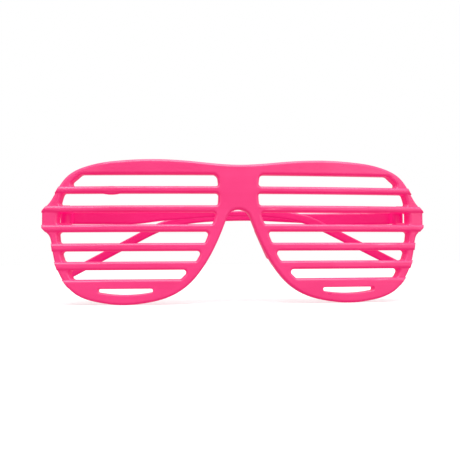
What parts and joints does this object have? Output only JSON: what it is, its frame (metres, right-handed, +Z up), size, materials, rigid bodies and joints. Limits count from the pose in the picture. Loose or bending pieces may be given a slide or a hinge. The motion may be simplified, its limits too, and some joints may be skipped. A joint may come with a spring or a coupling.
{
  "type": "slatted novelty glasses",
  "caption": "Novelty glasses with a wrapped front of flat horizontal slats in place of lenses, and two hinged arms that fold flat behind it.",
  "frame": {"origin": "top of the nose arch, in the plane of the foremost point of the front", "axes": "+X to the viewer's right across the front, +Y from the front backwards to the wearer, +Z up as worn; the arms are folded at rest"},
  "size_m": [0.1486, 0.0306, 0.0551],
  "materials": {
    "front_plastic": "glossy neon pink moulding",
    "left_temple_plastic": "glossy neon pink moulding",
    "right_temple_plastic": "glossy neon pink moulding",
    "left_pin_steel": "plain drawn wire",
    "right_pin_steel": "plain drawn wire"
  },
  "bodies": {
    "front": {"front_frame": "front_plastic", "left_hinge_pin": "left_pin_steel", "right_hinge_pin": "right_pin_steel"},
    "left_temple": {"left_temple": "left_temple_plastic"},
    "right_temple": {"right_temple": "right_temple_plastic"}
  },
  "joints": [
    {"name": "left_temple_hinge", "type": "hinge", "parent": "front", "child": "left_temple", "pos_m": [-0.0662, 0.01296, 0], "axis": [0, 0, 1], "range_deg": [0, 90]},
    {"name": "right_temple_hinge", "type": "hinge", "parent": "front", "child": "right_temple", "pos_m": [0.0662, 0.01296, 0], "axis": [0, 0, -1], "range_deg": [0, 85.6]}
  ]
}
